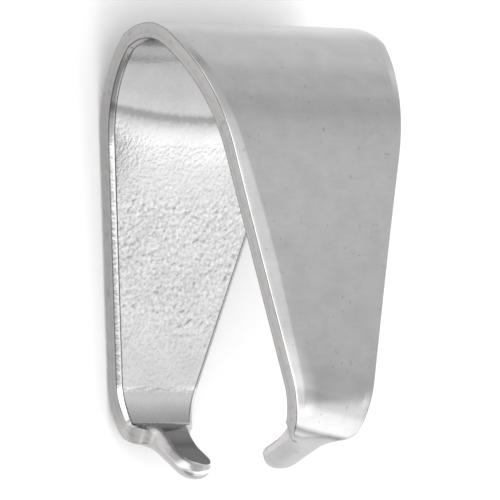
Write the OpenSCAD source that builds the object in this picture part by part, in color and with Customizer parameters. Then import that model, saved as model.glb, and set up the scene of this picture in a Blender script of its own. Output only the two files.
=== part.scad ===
// Pinch bail: one strip of sheet metal folded into an arch, with two splayed
// legs that narrow downwards and end in prongs turned in towards each other.
// Millimetres. The bail lies on the flat outer face of its longer leg:
// the origin is the middle of that face, +Z is up, X runs across the strip and
// +Y points along the leg to the arch.

/* [Sheet] */
// Thickness of the sheet metal
sheet_t = 0.38; // [0.28:0.01:0.5]
// Width of the strip over the crown of the arch
strip_w = 5.0; // [3.5:0.1:7]

/* [Arch] */
// Inside radius of the crown, the tight top of the arch
crown_r = 1.0; // [0.8:0.05:1.6]
// Angle that the whole crown turns through
crown_angle = 73.5; // [50:0.5:100]
// Inside radius of the two flanks between the crown and the legs
flank_r = 2.83; // [2:0.01:4]

/* [Legs] */
// Mean length of the straight, flat part of a leg
leg_l = 4.4; // [3:0.05:7]
// Distance from the middle of the strip to the fold, which makes one leg longer
fold_shift = 0.18; // [0:0.01:0.4]
// Angle between the two legs, opening downwards
leg_splay = 20.3; // [8:0.1:32]

/* [Curl at the leg ends] */
// Inside radius of the curl that turns a leg end inwards
curl_r = 1.07; // [0.7:0.01:1.6]
// Angle that the curl turns through
curl_angle = 37; // [20:1:50]
// Inside radius of the tighter bend at the root of the prong
root_r = 0.25; // [0.15:0.01:0.5]
// Angle that the root bend turns through
root_angle = 36; // [15:1:50]

/* [Shoulders and prongs] */
// Width across the two rounded shoulders of a leg end
shoulder_w = 1.6; // [1.3:0.05:2.4]
// Radius of a shoulder's round corner
shoulder_r = 0.38; // [0.3:0.01:0.5]
// Radius of the hollow corner between shoulder and prong
notch_r = 0.22; // [0.1:0.01:0.3]
// Width of a prong, whose end is a full half round
prong_w = 0.74; // [0.5:0.01:1]
// Straight length of a prong, from the root bend to its tip
prong_l = 1.44; // [0.8:0.01:2]
// Radius of the rounded outer corner at the tip
nose_r = 0.2; // [0.05:0.01:0.24]

/* [Hidden] */
$fn = 96;

// Turn of each flank, and half the turn of the crown
crown_half = crown_angle / 2;
flank_angle = 90 - leg_splay / 2 - crown_half;

// Straight lengths of the leg that the bail lies on and of the upper leg
rest_leg_l = leg_l + fold_shift;
upper_leg_l = leg_l - fold_shift;

// Directions, in the side view, of the lines where one bend meets the next
flank_end = -90 + flank_angle;
crest_end = flank_end + crown_half;
curl_end = -90 - curl_angle;
root_end = curl_end - root_angle;

// Centres of the bends in the side view of a half, whose leg's top is at y = 0
function spoke(a) = [cos(a), sin(a)];
flank_c = [0, sheet_t + flank_r];
crown_c = flank_c + (flank_r - crown_r) * spoke(flank_end);
function curl_c(leg) = [-leg, sheet_t + curl_r];
function root_c(leg) = curl_c(leg) + (curl_r - root_r) * spoke(curl_end);

// The taper is straight in the flat strip: it runs down a flank, a leg and a curl
flank_run = (flank_r + sheet_t / 2) * flank_angle * PI / 180;
curl_run = (curl_r + sheet_t / 2) * curl_angle * PI / 180;
function taper(leg) = (strip_w - shoulder_w) / 2 / (flank_run + leg + curl_run);

// Ends of the taper in the bent strip, measured along the leg
flank_top = (flank_r + sheet_t / 2) * sin(flank_angle);
function curl_foot(leg) = -leg - (curl_r + sheet_t / 2) * sin(curl_angle);

// Neighbouring arcs and edges bite this far into each other where they meet
bite = 0.003;

// Centres of the shoulder and notch arcs, which meet each other and, in turn,
// the side of the curl and the side of the prong
shoulder_x = shoulder_w / 2 - shoulder_r + bite;
notch_x = prong_w / 2 + notch_r - bite;
arcs_apart = shoulder_r + notch_r - bite;
notch_v = bite + sqrt(pow(arcs_apart, 2) - pow(notch_x - shoulder_x, 2));
tip_r = prong_w / 2 + bite;

// Reach of the cutting prisms, well past the whole bail
reach = 2 * (leg_l + flank_r + prong_l + strip_w);

// Angle by which a bend laps into its neighbour, and the depth of the trim there
lap = 2;
trim = root_r / 2;

// A wedge with its point at the origin, between two directions
module wedge(r, from, to) {
    far = 2 * r / cos((to - from) / 2);
    polygon([[0, 0], far * spoke(from), far * spoke((from + to) / 2), far * spoke(to)]);
}

// Side view of a bend: a stretch of a ring as thick as the sheet
module bend(r, from, to) {
    intersection() {
        difference() {
            circle(r + sheet_t);
            circle(r);
        }
        wedge(r + sheet_t, from, to);
    }
}

// Side view of the space inside a bend
module inside(r, from, to) {
    intersection() {
        circle(r);
        wedge(r, from, to);
    }
}

// Side view of a prong: its outer corner is rounded at the tip
module prong_side() {
    translate([0, nose_r - prong_l])
        square([sheet_t, prong_l - nose_r]);
    translate([0, -prong_l])
        square([sheet_t - nose_r, prong_l]);
    translate([sheet_t - nose_r, nose_r - prong_l])
        circle(nose_r);
}

// The turn from the frame of a leg to that of the crest, which has the crown's
// centre at its origin and the crest straight above it, in a side view and in space
module side_to_crest() {
    rotate(90 - crest_end)
        translate(-crown_c)
            children();
}

module to_crest() {
    rotate([90 - crest_end, 0, 0])
        translate([0, -crown_c[0], -crown_c[1]])
            children();
}

// Side view of a half below the crown: flank, leg, curl, root bend and prong.
// Each bend laps a little way into its straighter neighbour, whose inner face
// then trims it, so that the band is one piece with no joint.
module leg_side(leg) {
    translate(flank_c)
        bend(flank_r, -90 - lap, flank_end);
    translate([-leg, 0])
        square([leg, sheet_t]);
    translate(curl_c(leg))
        bend(curl_r, curl_end, -90 + lap);
    translate(root_c(leg)) {
        bend(root_r, root_end - lap, curl_end + lap);
        rotate(root_end)
            translate([root_r, 0])
                prong_side();
    }
}

// Side view of the slivers that the laps leave on the inner face
module trim_side(leg) {
    translate(flank_c)
        inside(flank_r, -90, flank_end);
    translate([-leg, sheet_t])
        square([leg, trim]);
    translate(curl_c(leg))
        inside(curl_r, curl_end, -90);
    translate(root_c(leg))
        rotate(root_end)
            translate([root_r - trim, -prong_l])
                square([trim, prong_l]);
}

// Side view of a half in the frame of the crest
module half_side(leg) {
    difference() {
        union() {
            bend(crown_r, 90 - crown_half - lap, 90);
            side_to_crest()
                leg_side(leg);
        }
        side_to_crest()
            trim_side(leg);
    }
}

// Stand a plan up as a prism, square to the sheet in the given direction
module square_to(centre, direction) {
    translate([0, centre[0], centre[1]])
        rotate([direction - 90, 0, 0])
            linear_extrude(2 * prong_l, center = true)
                children();
}

// Plan of a half: wider than the strip at the crown, narrowing to the shoulders
module taper_plan(leg) {
    shoulder = shoulder_w / 2;
    foot = shoulder + taper(leg) * curl_run;
    top = foot + taper(leg) * leg;
    crown = strip_w - top;
    polygon([
        [-crown, reach], [-crown, 2 * flank_top], [-top, 0], [-foot, -leg],
        [-shoulder, curl_foot(leg)], [-shoulder, -reach], [shoulder, -reach],
        [shoulder, curl_foot(leg)], [foot, -leg], [top, 0], [crown, 2 * flank_top], [crown, reach]
    ]);
}

// Plan of what is cut away beside one shoulder, notch and prong, measured from
// the start of the root bend
module shoulder_cut() {
    difference() {
        translate([prong_w / 2, bite])
            square([strip_w, 2 * prong_l]);
        translate([shoulder_x, bite])
            circle(shoulder_r);
        difference() {
            polygon([
                [0, bite - shoulder_r], [shoulder_x, bite - shoulder_r],
                [shoulder_x, bite], [notch_x, notch_v], [0, notch_v]
            ]);
            translate([notch_x, notch_v])
                circle(notch_r);
        }
    }
}

// Plan of what is cut away around the prong's round tip, measured from the end
// of the root bend
module tip_cut() {
    difference() {
        translate([-prong_w, prong_l - tip_r])
            square([2 * prong_w, 2 * prong_w]);
        translate([0, prong_l - tip_r])
            circle(tip_r);
    }
}

// One half of the bail, from the crest of the arch to the tip of its prong
module half(leg) {
    difference() {
        intersection() {
            rotate([90, 0, 90])
                linear_extrude(strip_w, center = true)
                    half_side(leg);
            to_crest()
                linear_extrude(2 * reach, center = true)
                    taper_plan(leg);
        }
        to_crest() {
            square_to(root_c(leg), curl_end) {
                shoulder_cut();
                mirror([1, 0])
                    shoulder_cut();
            }
            square_to(root_c(leg), root_end)
                tip_cut();
        }
    }
}

// The whole bail: the half that it lies on and, across the crest, the upper half
module bail() {
    color("silver")
        translate([0, rest_leg_l / 2 + crown_c[0], crown_c[1]])
            rotate([crest_end - 90, 0, 0]) {
                half(rest_leg_l);
                mirror([0, 1, 0])
                    half(upper_leg_l);
            }
}

bail();
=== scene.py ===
"""Looks of the pinch bail: a folded strip of sheet metal with coined and sheared edges."""

import math

import bmesh
import bpy
import numpy as np
from mathutils import Matrix, Vector, noise
from mathutils.geometry import delaunay_2d_cdt


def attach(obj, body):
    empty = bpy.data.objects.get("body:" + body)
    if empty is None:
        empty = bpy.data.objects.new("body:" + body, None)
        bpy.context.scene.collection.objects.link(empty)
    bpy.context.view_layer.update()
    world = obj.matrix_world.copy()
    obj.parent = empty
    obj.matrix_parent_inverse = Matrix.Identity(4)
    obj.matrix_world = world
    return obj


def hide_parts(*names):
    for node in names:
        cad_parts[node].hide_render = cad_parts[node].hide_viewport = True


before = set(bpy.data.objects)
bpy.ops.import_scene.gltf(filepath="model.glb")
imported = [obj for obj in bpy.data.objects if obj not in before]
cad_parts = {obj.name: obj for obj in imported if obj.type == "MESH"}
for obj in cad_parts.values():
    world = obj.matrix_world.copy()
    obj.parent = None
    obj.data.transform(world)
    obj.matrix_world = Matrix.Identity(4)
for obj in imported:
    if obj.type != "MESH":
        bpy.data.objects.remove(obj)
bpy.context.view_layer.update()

MM = 0.001

# Sheet, in millimetres like all lengths that don't say otherwise
SHEET_T = 0.38
HALF_T = SHEET_T / 2
HALF_W = 2.484

# Degrees by which a leg leans from upright when the bail hangs
LEAN = 10.15

# Bends of the strip's middle surface, each as its angle in degrees and its radius
CROWN = (36.75, 1.0 + HALF_T)
FLANK = (90 - LEAN - CROWN[0], 2.83 + HALF_T)
CURL = (37.0, 1.07 + HALF_T)
ROOT = (36.0, 0.25 + HALF_T)

# Flat lengths: the two legs, and a prong, which the outline cuts shorter
LEG_L = 4.4
FOLD_SHIFT = 0.18
LEG_NEAR = LEG_L - FOLD_SHIFT
LEG_FAR = LEG_L + FOLD_SHIFT
PRONG_RUN = 3.0

# Outline of the flat strip: how far from the crest the taper starts, its half width at the
# leg's foot, its slope past the foot, and how far past the foot and how round the shoulders are
TAPER_START = 0.724
FOOT_HALF_W = 0.967
FOOT_SLOPE = 0.2328
SHOULDER_DROP = 1.2117
SHOULDER_R = 0.4476

# A prong's half width, its length from the bottom of the shoulders and its end's radius
PRONG_HALF_W = 0.371
PRONG_DROP = 1.309
TIP_R = 0.365

# Radius of the hollow corner beside a prong: tight on one side and wide on the other
NOTCH_R = 0.2227
NOTCH_WIDE = 0.55

# Coined border of the outer face: first a cut with this radius, from this angle in degrees
CUT_R = 0.035
CUT_START = 8.0
CUT_STEPS = 5

# Then a slope: its angle in degrees, its narrowest and widest width, how far from the crest
# it is widest and how far along the leg that reaches
SLOPE = 11.0
SLOPE_W = (0.10, 0.24)
SLOPE_MIDDLE = 4.9
SLOPE_REACH = 2.3
SLOPE_STEPS = 3

# Last a soft end with this radius
SOFT_R = 0.35
SOFT_STEPS = 4

# Share of the slope and soft end that is left beside the shoulders, and where past the leg's
# foot it shrinks to that
SHOULDER_SHARE = 0.45
BORDER_CHANGE = (0.3, 1.0)

# Rolled border of a prong, as width and drop, and where it takes over from the leg's border,
# from the bottom of the shoulders
ROLL_PRONG = (0.28, 0.22)
PRONG_CHANGE = (-0.3, 0.25)

# Bevel of the inner face, as width and depth: on a leg, on a prong, and the extra on the far
# prong's front side, with where across the prong, towards that side, the extra starts
BEVEL_LEG = (0.10, 0.06)
BEVEL_PRONG = (0.045, 0.045)
BEVEL_WORN = (0.11, 0.07)
WORN_ACROSS = (-0.25, 0.15)

# Points of the bevel between its borders, as shares of its width and depth
BEVEL_SHAPE = ((0.82, 0.08), (0.5, 0.38), (0.18, 0.78))

# The inner face is fuller where a prong starts: by how much, and where past the leg's foot
# that rises and falls
ROOT_FILL = 0.10
FILL_RISE = (0.80, 1.20)
FILL_FALL = (1.25, 1.85)

# Painted dark reflection lines beside the edges: how wide they are on each side of the bevel,
# how dark the first rings of the outer border are, and where the lines fade, from the bottom of
# the shoulders
LINE_W = 0.02
PAINTED_DARK_RINGS = (1.0, 0.9, 0.5)
LINE_FADE = (-0.7, -0.3)

# Dented stretch of a leg's inner face, from the crest, with soft ends
DENTS_FROM = (3.6, 4.3)
DENTS_TO = (6.2, 7.3)

# A slow wave all over, as cycles per millimetre, height and shift, and two sizes of dents
# the same way, with the share of them that is left outside the dented stretch
WAVE = (1.3, 0.0020, (0, 0, 0))
COARSE = (4.6, 0.0010, (0, 0, 0))
FINE = (11.0, 0.0046, (7, 3, 1))
DENTS_LEFT = 0.06

# Patches with deeper or flatter dents: their mean share, and its swing the same way
PATCH_MEAN = 0.6
PATCH = (1.9, 0.8, (2, 5, 3))

# Mesh: pitch along the outline, points on each of its arcs, pitch on the outer and on the
# inner face, their points' least distance from the border as a share of the pitch, and
# steps up the wall
STEP = 0.045
ARC_POINTS = 16
OUTER_PITCH = 0.11
INNER_PITCH = 0.037
FILL_MARGIN = 0.6
WALL_STEPS = 4

# Distances below which points are one: on the outline, on a face, and on the mesh in metres
OUTLINE_GAP = 1e-6
FACE_GAP = 1e-7
WELD_GAP = 1e-7

# Degrees above which an edge is sharp
SHARP_ANGLE = 28

# Kinds of surface, in the order of the materials
OUTER, EDGE, INNER = 0, 1, 2

# Base colour and roughness of each surface
OUTER_LOOK = ((0.64, 0.64, 0.64), 0.24)
EDGE_LOOK = ((0.415, 0.405, 0.40), 0.36)
INNER_LOOK = ((0.48, 0.48, 0.48), 0.17)

# Patterns, as cycles per millimetre along, across and through the strip, detail and shift,
# which is in cycles
OUTER_CLOUDS = ((2.2, 2.2, 1.0), 4.0, 0.0)
OUTER_MARKS = ((11.0, 4.0, 1.0), 3.0, 5.0)
OUTER_PITS = ((9.0, 9.0, 1.0), 1.0, 9.0)
OUTER_RAGGED = ((11.0, 11.0, 1.0), 2.0, 8.0)
OUTER_WAVY = ((1.6, 1.6, 1.0), 1.0, 4.0)
OUTER_GRAIN = ((12.0, 9.0, 1.0), 3.0, 2.0)
EDGE_CLOUDS = ((5.0, 5.0, 8.0), 3.0, 0.0)
EDGE_SPOTS = ((7.0, 7.0, 14.0), 2.0, 1.0)
EDGE_GRAIN = ((22.0, 22.0, 4.0), 3.0, 4.0)
INNER_CLOUDS = ((1.6, 1.6, 1.0), 4.0, 0.0)
INNER_SPECKS = ((14.0, 14.0, 1.0), 2.0, 3.0)
INNER_RAGGED = ((9.0, 9.0, 1.0), 2.0, 8.0)
INNER_GRAIN = ((13.0, 13.0, 1.0), 2.0, 6.0)

# Depth of the fine grain of each surface
OUTER_GRAIN_H = 0.0007
EDGE_GRAIN_H = 0.002
INNER_GRAIN_H = 0.0035

# Grey by pattern, as (noise, share of the colour)
CLOUD_GREYS = [(0.3, 0.95), (0.7, 1.04)]
MARK_GREYS = [(0.3, 0.975), (0.7, 1.02)]
PIT_GREYS = [(0.23, 0.8), (0.29, 1.0)]
SPOT_GREYS = [(0.3, 0.82), (0.42, 1.0)]

# Grey through the sheared edge, from the inner face to the outer one
SHEAR_GREYS = [(0.16, 1.0), (0.34, 1.0), (0.42, 0.88), (0.5, 1.0), (0.8, 1.03)]

# Share of the colour that is left in the middle of a painted dark reflection line
OUTER_PAINTED_LINE = 0.5
EDGE_PAINTED_LINE = 0.25
INNER_PAINTED_LINE = 0.2

# Painted light and shade along the strip, as (distance from the crest, share of the surface's
# own colour): painted shade over the arch of the outer face, and a painted dull reflection band
# and a painted dark reflection line over the curl
OUTER_PAINTED_LIGHT = [
    (0.4, 0.80), (0.7, 0.63), (1.1, 0.63), (1.35, 0.69), (1.55, 0.83), (1.75, 0.90),
    (1.95, 0.90), (2.1, 0.84), (2.3, 0.82), (2.55, 0.94), (2.9, 1.0), (3.5, 1.04),
    (4.5, 1.02), (6.0, 0.98), (7.0, 0.94), (7.2, 0.86), (7.5, 0.88), (7.62, 0.70),
    (7.76, 0.68), (7.86, 0.86), (8.1, 0.93), (8.15, 0.93), (8.18, 0.40), (8.23, 0.40),
    (8.26, 0.72), (10.0, 0.70),
]

# Painted light and shade on the inner face: a darker band in the flank, a painted highlight
# just below it, the brightest painted highlight where the curl starts and painted shade on the
# prongs
INNER_PAINTED_LIGHT = [
    (1.1, 0.73), (1.25, 0.62), (1.45, 0.65), (1.9, 0.70), (2.15, 0.78), (2.33, 0.80),
    (2.42, 0.47), (2.50, 0.50), (2.58, 0.75), (2.68, 0.98), (2.8, 1.18), (3.0, 1.35),
    (3.2, 1.36), (3.5, 1.16), (4.2, 1.08), (5.4, 0.99), (6.6, 0.97), (7.3, 0.92),
    (7.64, 0.90), (7.73, 1.65), (7.9, 1.8), (8.0, 1.65), (8.1, 1.45), (8.25, 1.2),
    (8.4, 1.0), (8.65, 0.85), (8.8, 0.42), (9.1, 0.36), (9.35, 0.2), (10.0, 0.2),
]

# Painted highlights on the edges: lighter on the prongs, and brightest at the tip of the longer
# one
EDGE_PAINTED_LIGHT = [(8.3, 1.0), (8.8, 1.4), (9.72, 1.4), (9.85, 2.2), (10.0, 2.2)]

# Distance from the crest that the levels cover: past it the last one holds
LEVEL_SPAN = 10.0

# From the first of these stretches on, the painted outer light and shade leans by this slope
# across and is ragged; from the second on, it is wavy instead of ragged
LEAN_FROM = (6.5, 7.2)
OUTER_LEAN = -0.18
OUTER_RAGGED_BY = 0.08
WAVY_FROM = (7.95, 8.1)
OUTER_WAVY_BY = 0.12

# A painted highlight runs along one side of the outer face, above the curl: how far in from
# the edge, where from the crest that starts and ends, and by how much
HIGHLIGHT_IN = (0.50, 0.15)
HIGHLIGHT_START = (6.3, 7.2)
HIGHLIGHT_END = (7.6, 7.9)
HIGHLIGHT_LIFT = 0.55

# The painted inner light and shade sags, by this much at 1 mm from the middle, and is ragged
# up to the curl, where it becomes clean
INNER_SAG = 0.05
INNER_RAGGED_BY = 0.10
CLEAN_FROM = (6.4, 7.0)

# A painted highlight makes the inner face lighter beside the root of a prong: from where across
# and from the crest, and by how much
BESIDE_ACROSS = (0.36, 0.50)
BESIDE_ALONG = (8.55, 8.80)
BESIDE_HIGHLIGHT_LIFT = 1.6

# Contrast of the specks on the inner face: everywhere, and added where it is dented
SPECK_CONTRAST = 0.15
DENTED_CONTRAST = 0.75

# Camera: its turn, rise and roll around the upright bail, its distance, the width that it
# frames there, its shift, the height that it aims at, from the crest, and its sensor's width
VIEW_TURN = math.radians(38.0)
VIEW_RISE = math.radians(1.47)
VIEW_ROLL = math.radians(-2.24)
VIEW_DISTANCE = 176.7
VIEW_FRAME = 9.287
VIEW_SHIFT = (0.00848, 0.02924)
AIM_HEIGHT = -4.272
SENSOR = 36.0

# Nearest and farthest metres that the camera sees
CLIP = (0.01, 10)

# Floor: half its side in metres, its grey and its roughness
FLOOR_HALF = 1.5
FLOOR_LEVEL = 0.93
FLOOR_ROUGHNESS = 0.9

# Light from all around, then soft panels: their distance in metres and, for each, its name,
# turn, side, size in metres and level
WORLD_LEVEL = 0.66
PANEL_DISTANCE = 0.6
PANELS = [
    ("key light", 84, -0.36, (0.6, 0.66), 1.5),
    ("front light", 136.5, 0.5, (0.8, 0.7), 1.0),
    ("slope light", 72, 0.2, (0.24, 0.95), 0.25),
    ("back light", 22, -0.4, (0.6, 0.4), 1.0),
]


def profile_segments(leg):
    """Pieces of the middle surface, as (kind, start, angle turned, y, z, radius or length):
    y and z are those of a line's start or of an arc's centre."""
    found = []
    start, angle, y, z = 0.0, 0.0, 0.0, 0.0
    for turn, size in (CROWN, FLANK, (None, leg), CURL, ROOT, (None, PRONG_RUN)):
        if turn is None:
            found.append(("line", start, angle, y, z, size))
            y += size * math.cos(angle)
            z -= size * math.sin(angle)
            start += size
            continue
        centre_y = y - size * math.sin(angle)
        centre_z = z - size * math.cos(angle)
        found.append(("arc", start, angle, centre_y, centre_z, size))
        angle += math.radians(turn)
        y = centre_y + size * math.sin(angle)
        z = centre_z + size * math.cos(angle)
        start += size * math.radians(turn)
    return found


# Profiles of the far half and of the near half, and where the flat legs start on both
SEGMENTS = {1: profile_segments(LEG_FAR), -1: profile_segments(LEG_NEAR)}
LEG_TOP = SEGMENTS[1][2][1]


def bend_half(side, s, off):
    """Upright (y, z) of points at distance s from the crest and off from the middle surface."""
    y = np.zeros_like(s)
    z = np.zeros_like(s)
    for kind, start, angle, py, pz, size in SEGMENTS[side]:
        here = s >= start
        along = s[here] - start
        if kind == "line":
            y[here] = py + along * math.cos(angle) + off[here] * math.sin(angle)
            z[here] = pz - along * math.sin(angle) + off[here] * math.cos(angle)
        else:
            turned = angle + along / size
            y[here] = py + (size + off[here]) * np.sin(turned)
            z[here] = pz + (size + off[here]) * np.cos(turned)
    return y * side, z


def leg_middle():
    """Upright (y, z) of the middle of the far leg's outer face, which is the row's origin."""
    s = np.array([LEG_TOP + LEG_FAR / 2])
    y, z = bend_half(1, s, np.array([HALF_T]))
    return y[0], z[0]


TILT = math.radians(LEAN)
MIDDLE = leg_middle()


def lay_down(y, z):
    """Upright (y, z) turned to (along, up), in which the bail lies on its far leg."""
    along = -y * math.sin(TILT) + z * math.cos(TILT)
    up = -y * math.cos(TILT) - z * math.sin(TILT)
    return along, up


def to_row(x, y, z):
    """Upright points in the row frame, in millimetres."""
    along, up = lay_down(y - MIDDLE[0], z - MIDDLE[1])
    return np.stack([x, along, up], 1)


def upright_direction(x, y, z):
    """An upright direction in the row frame."""
    return Vector((x, *lay_down(y, z)))


def fold(flat, off):
    """Row-frame points, in metres, of flat points (S, x): S is negative on the near leg."""
    s = flat[:, 0]
    y = np.zeros(len(flat))
    z = np.zeros(len(flat))
    for side in (1, -1):
        here = s * side >= 0
        y[here], z[here] = bend_half(side, np.abs(s[here]), off[here])
    return to_row(flat[:, 1], y, z) * MM


def arc(centre_s, centre_w, r, a0, a1):
    """Points on an arc of the outline."""
    angles = np.linspace(a0, a1, ARC_POINTS)
    return [(centre_s + r * math.cos(a), centre_w + r * math.sin(a)) for a in angles]


def half_outline(leg, notch):
    """Flat outline of one half on the side x > 0, from the crest to the tip."""
    foot = LEG_TOP + leg
    lean = math.atan(FOOT_SLOPE)
    bottom = foot + SHOULDER_DROP
    tip = bottom + PRONG_DROP
    shoulder_s = bottom - SHOULDER_R
    edge_w = FOOT_HALF_W - FOOT_SLOPE * (shoulder_s - foot)
    shoulder_w = edge_w - SHOULDER_R / math.cos(lean)
    notch_w = PRONG_HALF_W + notch
    notch_s = shoulder_s + math.sqrt((SHOULDER_R + notch) ** 2 - (notch_w - shoulder_w) ** 2)
    touch = math.atan2(notch_w - shoulder_w, notch_s - shoulder_s)
    found = [(0.0, HALF_W), (TAPER_START, HALF_W), (foot, FOOT_HALF_W)]
    found += arc(shoulder_s, shoulder_w, SHOULDER_R, math.pi / 2 - lean, touch)
    found += arc(notch_s, notch_w, notch, touch + math.pi, 1.5 * math.pi)
    found += arc(tip - TIP_R, PRONG_HALF_W - TIP_R, TIP_R, math.pi / 2, 0)
    found.append((tip, 0.0))
    return found


def resample(points, step):
    """The same path with its long stretches cut into short ones, and with no point twice."""
    found = [points[0]]
    for a, b in zip(points, points[1:]):
        length = math.hypot(b[0] - a[0], b[1] - a[1])
        if length < OUTLINE_GAP:
            continue
        count = max(1, round(length / step))
        for i in range(1, count + 1):
            t = i / count
            found.append((a[0] + (b[0] - a[0]) * t, a[1] + (b[1] - a[1]) * t))
    return found


def full_outline():
    """Closed flat outline of the whole strip, clockwise with S to the right."""
    far_back = resample(half_outline(LEG_FAR, NOTCH_WIDE), STEP)
    far_front = resample(half_outline(LEG_FAR, NOTCH_R), STEP)
    near_front = resample(half_outline(LEG_NEAR, NOTCH_WIDE), STEP)
    near_back = resample(half_outline(LEG_NEAR, NOTCH_R), STEP)
    loop = list(far_back)
    loop += [(s, -w) for s, w in reversed(far_front[:-1])]
    loop += [(-s, -w) for s, w in near_front[1:]]
    loop += [(-s, w) for s, w in reversed(near_back[1:-1])]
    return np.array(loop)


def inward(loop):
    """Unit normals into the outline at its points."""
    ahead = np.roll(loop, -1, 0) - loop
    back = loop - np.roll(loop, 1, 0)
    ahead /= np.linalg.norm(ahead, axis=1)[:, None]
    back /= np.linalg.norm(back, axis=1)[:, None]
    tangent = ahead + back
    tangent /= np.linalg.norm(tangent, axis=1)[:, None]
    return np.stack([tangent[:, 1], -tangent[:, 0]], 1)


def smooth_step(value, low, high):
    """0 below low, 1 above high and a smooth change between them."""
    t = np.clip((value - low) / (high - low), 0, 1)
    return t * t * (3 - 2 * t)


def past_foot(s):
    """Distance past the foot of the leg, where the curl starts."""
    return np.abs(s) - LEG_TOP - np.where(s > 0, LEG_FAR, LEG_NEAR)


def prong_share(s):
    """0 on the legs and 1 on the prongs."""
    return smooth_step(past_foot(s) - SHOULDER_DROP, *PRONG_CHANGE)


def painted_line_share(s):
    """How dark the painted dark lines beside the edges are: they fade out on the shoulders."""
    return 1 - smooth_step(past_foot(s) - SHOULDER_DROP, *LINE_FADE)


def border_share(s):
    """How much of the slope and of its soft end is left: less beside the shoulders."""
    return 1 - (1 - SHOULDER_SHARE) * smooth_step(past_foot(s), *BORDER_CHANGE)


def inner_level(s):
    """Height of the inner face without its dents: it is fuller where a prong starts."""
    past = past_foot(s)
    share = smooth_step(past, *FILL_RISE) * (1 - smooth_step(past, *FILL_FALL))
    return -HALF_T - ROOT_FILL * share


def bumps(p, pattern):
    """Smooth bumps at a flat point."""
    pitch, height, shift = pattern
    return height * noise.noise(p * pitch + Vector(shift))


def orange_peel(flat):
    """Height of the fine dents in the inner face, deepest along the middle of the legs."""
    away = np.abs(flat[:, 0])
    depth = smooth_step(away, *DENTS_FROM) * (1 - smooth_step(away, *DENTS_TO))
    height = np.zeros(len(flat))
    for i, (s, x) in enumerate(flat):
        p = Vector((s, x, 0))
        patch = PATCH_MEAN + bumps(p, PATCH)
        share = DENTS_LEFT + (1 - DENTS_LEFT) * depth[i] * patch
        height[i] = bumps(p, WAVE) + share * (bumps(p, COARSE) + bumps(p, FINE))
    return height


def triangular_grid(loop, pitch):
    """Points of a triangular grid over a loop's box."""
    low = loop.min(0)
    high = loop.max(0)
    rows = []
    odd = False
    s = low[0] + pitch
    while s < high[0]:
        x = np.arange(low[1] + (pitch / 2 if odd else pitch), high[1], pitch)
        rows.append(np.stack([np.full(len(x), s), x], 1))
        s += pitch * math.sqrt(3) / 2
        odd = not odd
    return np.concatenate(rows)


def inside_points(loop, pitch):
    """Points of a triangular grid that lie inside a loop and not too close to its points."""
    grid = triangular_grid(loop, pitch)
    keep = np.zeros(len(grid), bool)
    for first, last in zip(loop, np.roll(loop, -1, 0)):
        if first[0] == last[0]:
            continue
        crosses = (first[0] > grid[:, 0]) != (last[0] > grid[:, 0])
        slope = (last[1] - first[1]) / (last[0] - first[0])
        crosses &= grid[:, 1] < first[1] + slope * (grid[:, 0] - first[0])
        keep ^= crosses
    grid = grid[keep]
    margin = pitch * FILL_MARGIN
    clear = np.ones(len(grid), bool)
    for point in loop:
        clear &= ((grid - point) ** 2).sum(1) > margin * margin
    return grid[clear]


def fill(loop, pitch):
    """Triangles inside a loop: (points, triangles); the loop's points come first."""
    points = np.concatenate([loop, inside_points(loop, pitch)])
    face = list(range(len(loop)))
    only_inside = 1
    done = delaunay_2d_cdt([Vector(p) for p in points], [], [face], only_inside, FACE_GAP)
    flat = np.array([(v.x, v.y) for v in done[0]])
    return flat, [tuple(f) for f in done[2]]


class Builder:
    """Collects points and faces of one closed mesh."""

    def __init__(self):
        self.points = []
        self.places = []
        self.lines = []
        self.faces = []
        self.kinds = []
        self.count = 0

    def add(self, flat, off, painted_dark):
        """Adds flat points at heights off and keeps where they are in the flat strip and how
        much of a painted dark line runs there. Says the number of the first one."""
        first = self.count
        self.points.append(fold(flat, off))
        self.places.append(np.column_stack([flat, off]))
        self.lines.append(np.zeros(len(flat)) + painted_dark)
        self.count += len(flat)
        return first

    def band(self, a, b, n, kind):
        """Joins two rings of n points, of which a and b are the first ones."""
        kinds = np.broadcast_to(kind, n)
        for i in range(n):
            j = (i + 1) % n
            self.faces.append((a + i, a + j, b + j, b + i))
            self.kinds.append(int(kinds[i]))

    def region(self, first, triangles, kind):
        """Adds triangles, whose point numbers count from first."""
        for t in triangles:
            self.faces.append(tuple(first + i for i in t))
            self.kinds.append(kind)


def leg_border(s):
    """Rings of the coined border, from the cut to the face: (distance in, rise) for each."""
    share = border_share(s)
    spread = np.exp(-(((np.abs(s) - SLOPE_MIDDLE) / SLOPE_REACH) ** 2))
    width = (SLOPE_W[0] + (SLOPE_W[1] - SLOPE_W[0]) * spread) * share
    start = math.radians(CUT_START)
    end = math.radians(90 - SLOPE)
    rings = []
    for i in range(1, CUT_STEPS + 1):
        a = start + (end - start) * i / CUT_STEPS
        inner = np.full(len(s), CUT_R * (math.cos(start) - math.cos(a)))
        rings.append((inner, np.full(len(s), CUT_R * (math.sin(a) - math.sin(start)))))
    foot_in, foot_rise = rings[-1]
    for i in range(1, SLOPE_STEPS + 1):
        run = width * i / SLOPE_STEPS
        rings.append((foot_in + run, foot_rise + run * math.tan(math.radians(SLOPE))))
    top_in, top_rise = rings[-1]
    radius = SOFT_R * share
    for i in range(1, SOFT_STEPS + 1):
        a = end + (math.pi / 2 - end) * i / SOFT_STEPS
        inner = top_in + radius * (math.cos(end) - math.cos(a))
        rings.append((inner, top_rise + radius * (math.sin(a) - math.sin(end))))
    return rings


def prong_border(count):
    """The same number of rings for the rolled border of a prong: (distance in, rise)."""
    rings = []
    for i in range(1, count + 1):
        a = math.pi / 2 * i / count
        rings.append((ROLL_PRONG[0] * (1 - math.cos(a)), ROLL_PRONG[1] * math.sin(a)))
    return rings


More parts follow.
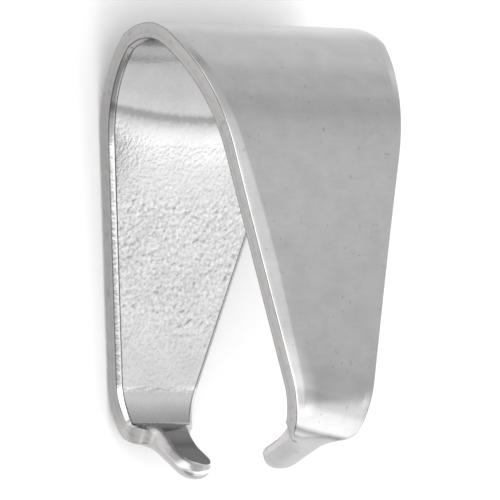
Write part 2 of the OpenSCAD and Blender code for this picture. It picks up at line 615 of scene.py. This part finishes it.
def outer_border(s, share):
    """Rings of the outer border as (distance in, drop below the face), and its whole depth."""
    leg = leg_border(s)
    prong = prong_border(len(leg))
    inner = [a + (b - a) * share for (a, _), (b, _) in zip(leg, prong)]
    rise = [a + (b - a) * share for (_, a), (_, b) in zip(leg, prong)]
    return [(d, rise[-1] - r) for d, r in zip(inner, rise)], rise[-1]


def bevel_sizes(loop, share):
    """Width and depth of the bevel at the outline's points."""
    worn = share * (loop[:, 0] > 0) * smooth_step(-loop[:, 1], *WORN_ACROSS)
    sizes = zip(BEVEL_LEG, BEVEL_PRONG, BEVEL_WORN)
    return [leg + (prong - leg) * share + extra * worn for leg, prong, extra in sizes]


def bevel_rings(made, loop, normal, share):
    """Rings from the inner face over its bevel: its border, the bevel's end, the rings."""
    painted_dark = painted_line_share(loop[:, 0])
    width, depth = bevel_sizes(loop, share)
    kind = np.where(share < 0.5, INNER, EDGE)
    inner = loop + normal * (width + LINE_W)[:, None]
    start = loop + normal * width[:, None]
    rings = [
        (made.add(inner, inner_level(inner[:, 0]), 0.0), INNER),
        (made.add(start, inner_level(start[:, 0]), painted_dark), INNER),
    ]
    for inset, drop in BEVEL_SHAPE:
        ring = loop + normal * (width * inset)[:, None]
        level = inner_level(ring[:, 0]) + depth * drop
        rings.append((made.add(ring, level, 0.0), kind))
    end = inner_level(loop[:, 0]) + depth
    rings.append((made.add(loop, end, painted_dark), kind))
    return inner, end, rings


def wall_rings(made, loop, low, high):
    """Rings of the sheared wall between two heights."""
    rings = []
    for i in range(WALL_STEPS + 1):
        t = i / WALL_STEPS
        rings.append((made.add(loop, low * (1 - t) + high * t, 0.0), EDGE))
    return rings


def border_rings(made, loop, normal, border):
    """Rings of the outer border: the outer face's own border, and the rings."""
    painted_dark = painted_line_share(loop[:, 0])
    rings = []
    for k, (inset, drop) in enumerate(border):
        amount = PAINTED_DARK_RINGS[k] if k < len(PAINTED_DARK_RINGS) else 0.0
        ring = loop + normal * inset[:, None]
        rings.append((made.add(ring, HALF_T - drop, painted_dark * amount), OUTER))
    return ring, rings


def build_bail():
    """The whole strip as one closed mesh."""
    loop = full_outline()
    normal = inward(loop)
    share = prong_share(loop[:, 0])
    border, depth = outer_border(loop[:, 0], share)
    made = Builder()
    inner_loop, low, rings = bevel_rings(made, loop, normal, share)
    rings += wall_rings(made, loop, low + LINE_W, HALF_T - depth)
    outer_loop, last_rings = border_rings(made, loop, normal, border)
    rings += last_rings
    for (a, _), (b, kind) in zip(rings, rings[1:]):
        made.band(a, b, len(loop), kind)
    flat, triangles = fill(outer_loop, OUTER_PITCH)
    made.region(made.add(flat, np.full(len(flat), HALF_T), 0.0), triangles, OUTER)
    flat, triangles = fill(inner_loop, INNER_PITCH)
    height = orange_peel(flat)
    # Its border, whose points come first, has to meet the bevel
    height[:len(loop)] = 0
    made.region(made.add(flat, height + inner_level(flat[:, 0]), 0.0), triangles, INNER)
    return made


def mesh_object(name, made, materials):
    """The piece itself, with where its points are in the flat strip and its painted dark lines.
    """
    mesh = bpy.data.meshes.new(name)
    mesh.from_pydata(np.concatenate(made.points).tolist(), [], made.faces)
    for material in materials:
        mesh.materials.append(material)
    mesh.polygons.foreach_set("material_index", made.kinds)
    place = mesh.attributes.new("flat", "FLOAT_VECTOR", "POINT")
    place.data.foreach_set("vector", np.concatenate(made.places).ravel())
    line = mesh.attributes.new("line", "FLOAT", "POINT")
    line.data.foreach_set("value", np.concatenate(made.lines))
    weld(mesh)
    mesh.shade_smooth()
    mesh.set_sharp_from_angle(angle=math.radians(SHARP_ANGLE))
    piece = bpy.data.objects.new(name, mesh)
    bpy.context.scene.collection.objects.link(piece)
    return piece


def weld(mesh):
    """Joins the regions along their shared points and turns every face outwards."""
    work = bmesh.new()
    work.from_mesh(mesh)
    bmesh.ops.remove_doubles(work, verts=work.verts, dist=WELD_GAP)
    bmesh.ops.recalc_face_normals(work, faces=work.faces)
    work.to_mesh(mesh)
    work.free()


class Metal:
    """A metal material whose patterns follow the flat strip, in millimetres: across is the
    distance from its middle line and through the height, and away that from the crest."""

    def __init__(self, name, colour, roughness):
        self.material = bpy.data.materials.new(name)
        self.material.use_nodes = True
        self.nodes = self.material.node_tree.nodes
        self.links = self.material.node_tree.links
        self.shader = self.nodes["Principled BSDF"]
        self.shader.inputs["Metallic"].default_value = 1.0
        self.shader.inputs["Base Color"].default_value = (*colour, 1.0)
        self.shader.inputs["Roughness"].default_value = roughness
        self.colour = colour
        place = self.nodes.new("ShaderNodeAttribute")
        place.attribute_name = "flat"
        self.place = place.outputs["Vector"]
        split = self.nodes.new("ShaderNodeSeparateXYZ")
        self.links.new(self.place, split.inputs["Vector"])
        along, self.across, self.through = split.outputs
        self.away = self.math("ABSOLUTE", along)
        line = self.nodes.new("ShaderNodeAttribute")
        line.attribute_name = "line"
        self.line = line.outputs["Fac"]

    def math(self, kind, *values):
        """The result of a math node on values or sockets."""
        node = self.nodes.new("ShaderNodeMath")
        node.operation = kind
        for socket, value in zip(node.inputs, values):
            if isinstance(value, (int, float)):
                socket.default_value = value
            else:
                self.links.new(value, socket)
        return node.outputs[0]

    def total(self, first, *others):
        for other in others:
            first = self.math("ADD", first, other)
        return first

    def product(self, first, *others):
        for other in others:
            first = self.math("MULTIPLY", first, other)
        return first

    def centred(self, value, width):
        """A value from 0 to 1 turned into one of that width around 0."""
        return self.math("MULTIPLY_ADD", value, width, -width / 2)

    def lifted(self, share, amount):
        """1 where share is 0, and more by amount where it is 1."""
        return self.math("MULTIPLY_ADD", share, amount, 1.0)

    def gate(self, value, low, high):
        """0 on low's side of the two bounds, 1 on high's side and a change between them."""
        node = self.nodes.new("ShaderNodeMapRange")
        node.inputs["From Min"].default_value = low
        node.inputs["From Max"].default_value = high
        self.links.new(value, node.inputs["Value"])
        return node.outputs["Result"]

    def between(self, value, start, end):
        """1 from a start to an end, which are both soft, and 0 outside them."""
        return self.math("SUBTRACT", self.gate(value, *start), self.gate(value, *end))

    def noise(self, pattern):
        """Noise from 0 to 1 that follows a pattern."""
        stretch, detail, shift = pattern
        mapping = self.nodes.new("ShaderNodeMapping")
        mapping.inputs["Scale"].default_value = stretch
        mapping.inputs["Location"].default_value = (shift, shift, shift)
        self.links.new(self.place, mapping.inputs["Vector"])
        node = self.nodes.new("ShaderNodeTexNoise")
        node.inputs["Scale"].default_value = 1.0
        node.inputs["Detail"].default_value = detail
        self.links.new(mapping.outputs["Vector"], node.inputs["Vector"])
        return node.outputs["Fac"]

    def ramp(self, value, stops):
        """Grey by value: stops are (value, grey)."""
        node = self.nodes.new("ShaderNodeValToRGB")
        elements = node.color_ramp.elements
        while len(elements) < len(stops):
            elements.new(0.5)
        for element, (position, grey) in zip(elements, stops):
            element.position = position
            element.color = (grey, grey, grey, 1)
        self.links.new(value, node.inputs["Fac"])
        return node.outputs["Color"]

    def painted_dark_lines(self, left):
        """Grey of the painted dark reflection lines, which leave this share of the colour."""
        return self.ramp(self.line, [(0.0, 1.0), (1.0, left)])

    def levels(self, place, stops):
        """Painted light and shade by place in millimetres, whose stops may go above 1."""
        top = max(level for _, level in stops)
        share = self.math("MULTIPLY", place, 1 / LEVEL_SPAN)
        found = self.ramp(share, [(s / LEVEL_SPAN, level / top) for s, level in stops])
        node = self.nodes.new("ShaderNodeVectorMath")
        node.operation = "SCALE"
        node.inputs["Scale"].default_value = top
        self.links.new(found, node.inputs[0])
        return node.outputs["Vector"]

    def shade(self, *factors):
        """Multiplies the base colour by grey factors."""
        colour = None
        for factor in factors:
            node = self.nodes.new("ShaderNodeVectorMath")
            node.operation = "MULTIPLY"
            if colour is None:
                node.inputs[0].default_value = self.colour
            else:
                self.links.new(colour, node.inputs[0])
            self.links.new(factor, node.inputs[1])
            colour = node.outputs["Vector"]
        self.links.new(colour, self.shader.inputs["Base Color"])

    def bump(self, height, depth):
        """Bumps of that depth in millimetres, where height goes from 0 to 1."""
        node = self.nodes.new("ShaderNodeBump")
        node.inputs["Distance"].default_value = depth * MM
        self.links.new(height, node.inputs["Height"])
        self.links.new(node.outputs["Normal"], self.shader.inputs["Normal"])


def outer_place(made):
    """Where the outer painted light and shade lies along the strip: it leans towards the curl,
    where it is first ragged and then wavy."""
    lean = made.product(made.across, OUTER_LEAN, made.gate(made.away, *LEAN_FROM))
    ragged = made.centred(made.noise(OUTER_RAGGED), OUTER_RAGGED_BY)
    ragged = made.product(ragged, made.between(made.away, LEAN_FROM, WAVY_FROM))
    wavy = made.centred(made.noise(OUTER_WAVY), OUTER_WAVY_BY)
    wavy = made.product(wavy, made.gate(made.away, *WAVY_FROM))
    return made.total(made.away, lean, ragged, wavy)


def outer_painted_highlight(made):
    """The painted highlight band along one side of a leg, above its curl. The strip's half
    width is that of its edge past the foot, drawn on."""
    half_w_at_crest = FOOT_HALF_W + FOOT_SLOPE * (LEG_TOP + LEG_NEAR)
    half_w = made.math("MULTIPLY_ADD", made.away, -FOOT_SLOPE, half_w_at_crest)
    near_edge = made.gate(made.total(half_w, made.across), *HIGHLIGHT_IN)
    above_curl = made.between(made.away, HIGHLIGHT_START, HIGHLIGHT_END)
    return made.lifted(made.product(near_edge, above_curl), HIGHLIGHT_LIFT)


def outer_metal():
    """Satin outer face: cloudy, with faint marks across the strip and a few pits, painted
    reflection bands, painted dark lines and a painted highlight.
    """
    made = Metal("outer face", *OUTER_LOOK)
    clouds = made.ramp(made.noise(OUTER_CLOUDS), CLOUD_GREYS)
    marks = made.ramp(made.noise(OUTER_MARKS), MARK_GREYS)
    pits = made.ramp(made.noise(OUTER_PITS), PIT_GREYS)
    lines = made.painted_dark_lines(OUTER_PAINTED_LINE)
    levels = made.levels(outer_place(made), OUTER_PAINTED_LIGHT)
    made.shade(clouds, marks, pits, lines, levels, outer_painted_highlight(made))
    made.bump(made.noise(OUTER_GRAIN), OUTER_GRAIN_H)
    return made.material


def edge_metal():
    """Sheared edge: warm grey, slightly mottled, with a faint line along it, painted dark lines
    at its borders and painted highlights on the prongs.
    """
    made = Metal("sheared edge", *EDGE_LOOK)
    clouds = made.ramp(made.noise(EDGE_CLOUDS), CLOUD_GREYS)
    spots = made.ramp(made.noise(EDGE_SPOTS), SPOT_GREYS)
    height = made.math("MULTIPLY_ADD", made.through, 1 / SHEET_T, 0.5)
    shear = made.ramp(height, SHEAR_GREYS)
    lines = made.painted_dark_lines(EDGE_PAINTED_LINE)
    levels = made.levels(made.away, EDGE_PAINTED_LIGHT)
    made.shade(clouds, shear, lines, spots, levels)
    made.bump(made.noise(EDGE_GRAIN), EDGE_GRAIN_H)
    return made.material


def inner_place(made):
    """Where the inner painted light and shade lies along the strip: it sags, and is ragged
    above the curl.
    """
    sag = made.product(made.across, made.across, INNER_SAG)
    ragged = made.centred(made.noise(INNER_RAGGED), INNER_RAGGED_BY)
    early = made.math("SUBTRACT", 1.0, made.gate(made.away, *CLEAN_FROM))
    return made.total(made.away, sag, made.product(ragged, early))


def inner_grain(made):
    """Light and dark specks, strongest where the face is dented."""
    dented = made.between(made.away, DENTS_FROM, DENTS_TO)
    contrast = made.math("MULTIPLY_ADD", dented, DENTED_CONTRAST, SPECK_CONTRAST)
    specks = made.centred(made.noise(INNER_SPECKS), 1.0)
    return made.lifted(specks, contrast)


def inner_beside_highlight(made):
    """The painted highlight beside the root of a prong."""
    wide = made.gate(made.math("ABSOLUTE", made.across), *BESIDE_ACROSS)
    low = made.gate(made.away, *BESIDE_ALONG)
    return made.lifted(made.product(wide, low), BESIDE_HIGHLIGHT_LIFT)


def inner_metal():
    """Bright inner face with a fine grain, painted dark lines, painted highlights and painted
    shade.
    """
    made = Metal("inner face", *INNER_LOOK)
    clouds = made.ramp(made.noise(INNER_CLOUDS), CLOUD_GREYS)
    lines = made.painted_dark_lines(INNER_PAINTED_LINE)
    levels = made.levels(inner_place(made), INNER_PAINTED_LIGHT)
    made.shade(clouds, inner_grain(made), lines, inner_beside_highlight(made), levels)
    made.bump(made.noise(INNER_GRAIN), INNER_GRAIN_H)
    return made.material


def floor_material():
    material = bpy.data.materials.new("pale floor")
    material.use_nodes = True
    shader = material.node_tree.nodes["Principled BSDF"]
    shader.inputs["Base Color"].default_value = (FLOOR_LEVEL, FLOOR_LEVEL, FLOOR_LEVEL, 1.0)
    shader.inputs["Roughness"].default_value = FLOOR_ROUGHNESS
    return material


def add_floor():
    mesh = bpy.data.meshes.new("floor")
    signs = ((-1, -1), (1, -1), (1, 1), (-1, 1))
    corners = [(x * FLOOR_HALF, y * FLOOR_HALF, 0) for x, y in signs]
    mesh.from_pydata(corners, [], [(0, 1, 2, 3)])
    mesh.materials.append(floor_material())
    floor = bpy.data.objects.new("floor", mesh)
    bpy.context.scene.collection.objects.link(floor)


def add_camera():
    """The photo's camera, placed around the upright bail and then laid down with it."""
    back = upright_direction(
        -math.sin(VIEW_TURN) * math.cos(VIEW_RISE),
        -math.cos(VIEW_TURN) * math.cos(VIEW_RISE),
        math.sin(VIEW_RISE),
    )
    level = upright_direction(math.cos(VIEW_TURN), -math.sin(VIEW_TURN), 0)
    above = back.cross(level)
    right = math.cos(VIEW_ROLL) * level - math.sin(VIEW_ROLL) * above
    up = math.sin(VIEW_ROLL) * level + math.cos(VIEW_ROLL) * above
    zero = np.zeros(1)
    aim = to_row(zero, zero, zero + AIM_HEIGHT)[0] * MM
    data = bpy.data.cameras.new("camera")
    data.sensor_width = SENSOR
    data.lens = SENSOR * VIEW_DISTANCE / VIEW_FRAME
    data.shift_x, data.shift_y = VIEW_SHIFT
    data.clip_start, data.clip_end = CLIP
    camera = bpy.data.objects.new("camera", data)
    matrix = Matrix((right, up, back)).transposed().to_4x4()
    matrix.translation = Vector(aim) + back * VIEW_DISTANCE * MM
    camera.matrix_world = matrix
    bpy.context.scene.collection.objects.link(camera)
    bpy.context.scene.camera = camera


def add_panel(name, turn, side, size, level):
    """A soft light that faces the bail: turn is its angle above the arch's end of the floor,
    in the plane across the strip, and side its share of the strip's own direction. Each
    square metre has pi watts times the level."""
    flat = math.sqrt(1 - side * side)
    angle = math.radians(turn)
    aim = Vector((side, flat * math.cos(angle), flat * math.sin(angle)))
    along = Vector((0, -math.sin(angle), math.cos(angle)))
    across = along.cross(aim)
    data = bpy.data.lights.new(name, "AREA")
    data.shape = "RECTANGLE"
    data.size, data.size_y = size
    data.energy = level * math.pi * size[0] * size[1]
    light = bpy.data.objects.new(name, data)
    matrix = Matrix((across, along, aim)).transposed().to_4x4()
    matrix.translation = aim * PANEL_DISTANCE
    light.matrix_world = matrix
    bpy.context.scene.collection.objects.link(light)


def add_world():
    world = bpy.data.worlds.new("world")
    world.use_nodes = True
    background = world.node_tree.nodes["Background"]
    background.inputs["Color"].default_value = (WORLD_LEVEL, WORLD_LEVEL, WORLD_LEVEL, 1)
    background.inputs["Strength"].default_value = 1.0
    bpy.context.scene.world = world


bail = mesh_object("bail_strip", build_bail(), [outer_metal(), edge_metal(), inner_metal()])
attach(bail, "root")
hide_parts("bail")

add_floor()
add_camera()
add_world()
for panel in PANELS:
    add_panel(*panel)
bpy.context.scene.view_settings.view_transform = "Standard"
